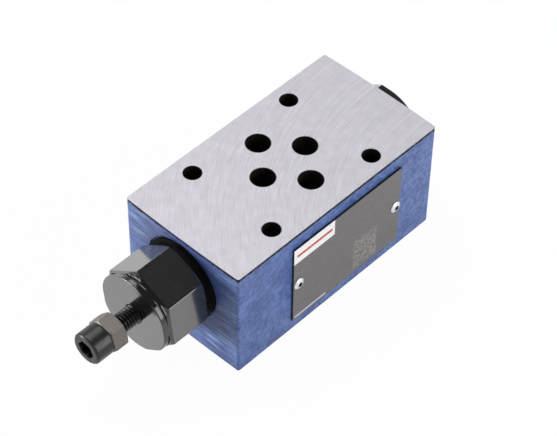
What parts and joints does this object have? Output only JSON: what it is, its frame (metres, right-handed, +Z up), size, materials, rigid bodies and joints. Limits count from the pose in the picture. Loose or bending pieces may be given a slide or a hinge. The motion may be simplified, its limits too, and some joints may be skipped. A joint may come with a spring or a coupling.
{
  "type": "hydraulic sandwich valve",
  "caption": "Block-shaped hydraulic sandwich pressure valve with drilled ports, a hexagon adjusting sleeve, socket screw and lock nut at one end and a hexagon plug at the other.",
  "frame": {"origin": "centre of the mounting pattern on the flat mounting face underneath", "axes": "+X along the spool away from the adjuster, +Y away from the nameplate, +Z up to the valve on top"},
  "size_m": [0.1244, 0.0455, 0.04],
  "materials": {
    "housing": "blue paint on cast iron, top and bottom ground bare",
    "black_steel": "smooth black oxide",
    "screw_steel": "dark oiled steel",
    "nut_steel": "turned steel",
    "plate_metal": "grey anodised",
    "bright_steel": "polished",
    "ground_steel": "ground",
    "spring_steel": "drawn wire",
    "seal_rubber": "matte"
  },
  "bodies": {
    "valve_body": {"housing": "housing", "adjusting_sleeve": "black_steel", "end_plug": "black_steel", "nameplate": "plate_metal", "nameplate_rivets": "bright_steel", "sleeve_seal": "seal_rubber", "plug_seal": "seal_rubber", "plate_snap_ring": "spring_steel", "port_seal_p": "seal_rubber", "port_seal_t": "seal_rubber", "port_seal_a": "seal_rubber", "port_seal_b": "seal_rubber", "control_spring": "spring_steel"},
    "spring_plate": {"spring_plate": "ground_steel", "spring_plate_seal": "seal_rubber"},
    "adjusting_screw": {"adjusting_screw": "screw_steel"},
    "lock_nut": {"lock_nut": "nut_steel"},
    "control_spool": {"control_spool": "ground_steel", "spring_seat": "ground_steel", "orifice_screw": "screw_steel"}
  },
  "joints": [
    {"name": "plate_slide", "type": "slide", "parent": "valve_body", "child": "spring_plate", "axis": [1, 0, 0], "range_m": [0, 0.004], "deforming": ["control_spring"]},
    {"name": "screw_turn", "type": "hinge", "parent": "spring_plate", "child": "adjusting_screw", "pos_m": [0, 0, 0.024], "axis": [1, 0, 0], "range_deg": [0, 1440.1]},
    {"name": "nut_slide", "type": "slide", "parent": "adjusting_screw", "child": "lock_nut", "axis": [1, 0, 0], "range_m": [0, 0.00265]},
    {"name": "spool_slide", "type": "slide", "parent": "valve_body", "child": "control_spool", "axis": [-1, 0, 0], "range_m": [0, 0.003], "stiffness_N_per_m": 66000, "springref_m": -0.0016, "deforming": ["control_spring"]}
  ],
  "couplings": [
    {"joint": "screw_turn", "follows": "plate_slide", "rad_per_m": 6283.2}
  ]
}
